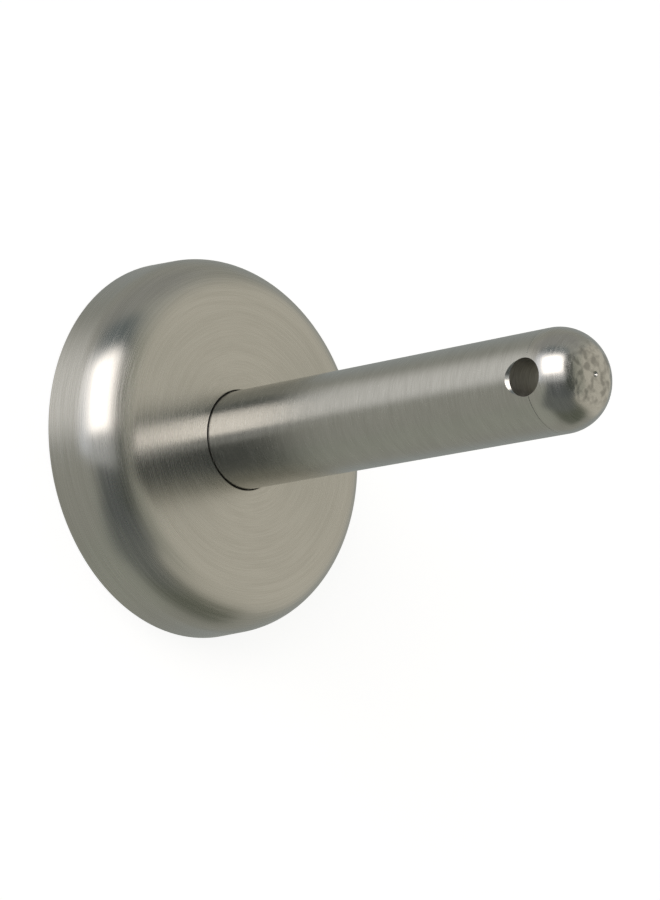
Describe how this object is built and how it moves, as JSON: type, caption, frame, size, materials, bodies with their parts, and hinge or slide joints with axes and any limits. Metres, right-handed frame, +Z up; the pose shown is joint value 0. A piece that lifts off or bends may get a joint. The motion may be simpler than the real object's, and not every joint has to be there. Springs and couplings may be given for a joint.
{
  "type": "floor door holder",
  "caption": "Stainless floor-mounted door holder: round pin with a cross hole for a hook, on a plate hidden by a loose domed rose that slides up the pin.",
  "frame": {"origin": "centre of the mounting plate's underside, on the floor", "axes": "+Z up along the pin, Y along the hook hole through the pin"},
  "size_m": [0.0616, 0.0616, 0.0866],
  "materials": {
    "brushed_rose": "stainless steel, fine concentric brushing on the face and round the skirt",
    "brushed_pin": "stainless steel, fine brushing round the pin",
    "turned_cap": "stainless steel, turned and half polished",
    "zinc_steel": "turned steel, zinc plated",
    "black_steel": "blackened steel fastener",
    "rubber": "black rubber",
    "nylon": "black nylon"
  },
  "bodies": {
    "base": {"mounting_plate": "zinc_steel", "cover_grip_ring": "rubber", "central_screw": "black_steel", "spring_washer": "black_steel", "pin_foot": "zinc_steel", "pin_tube": "brushed_pin", "pin_end_cap": "turned_cap"},
    "rose": {"cover_rose": "brushed_rose", "cover_guide_ring": "nylon"}
  },
  "joints": [
    {"name": "rose_lift", "type": "slide", "parent": "base", "child": "rose", "axis": [0, 0, 1], "range_m": [0, 0.067]}
  ]
}
